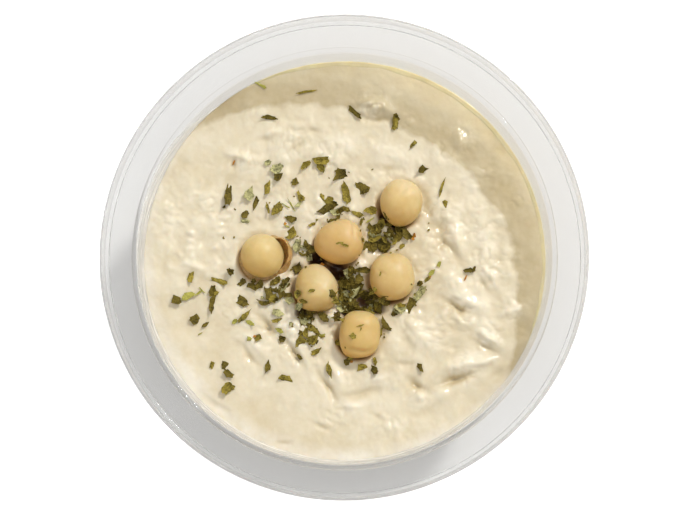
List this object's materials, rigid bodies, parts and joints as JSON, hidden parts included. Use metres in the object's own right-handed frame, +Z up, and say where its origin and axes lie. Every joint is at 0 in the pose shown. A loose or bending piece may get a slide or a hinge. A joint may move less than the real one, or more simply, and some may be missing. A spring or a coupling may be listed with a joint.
{
  "type": "pot of hummus topped with chickpeas and dried herbs",
  "caption": "Round clear pot with a wide flat land and a standing lip round its mouth, filled with a smooth pale dip that is topped in the middle with whole cooked chickpeas and dried herb flakes.",
  "frame": {"origin": "middle of the pot's foot, on the surface it stands on", "axes": "+Z up through the pot, -Y towards the side that the viewer looks from"},
  "size_m": [0.118, 0.118, 0.04],
  "materials": {
    "clear_plastic": "gloss",
    "hummus": "satin",
    "chickpea": "satin"
  },
  "bodies": {
    "root": {"tub": "clear_plastic", "hummus": "hummus", "chickpea_1": "chickpea", "chickpea_2": "chickpea", "chickpea_3": "chickpea", "chickpea_4": "chickpea", "chickpea_5": "chickpea", "chickpea_6": "chickpea"}
  },
  "joints": []
}
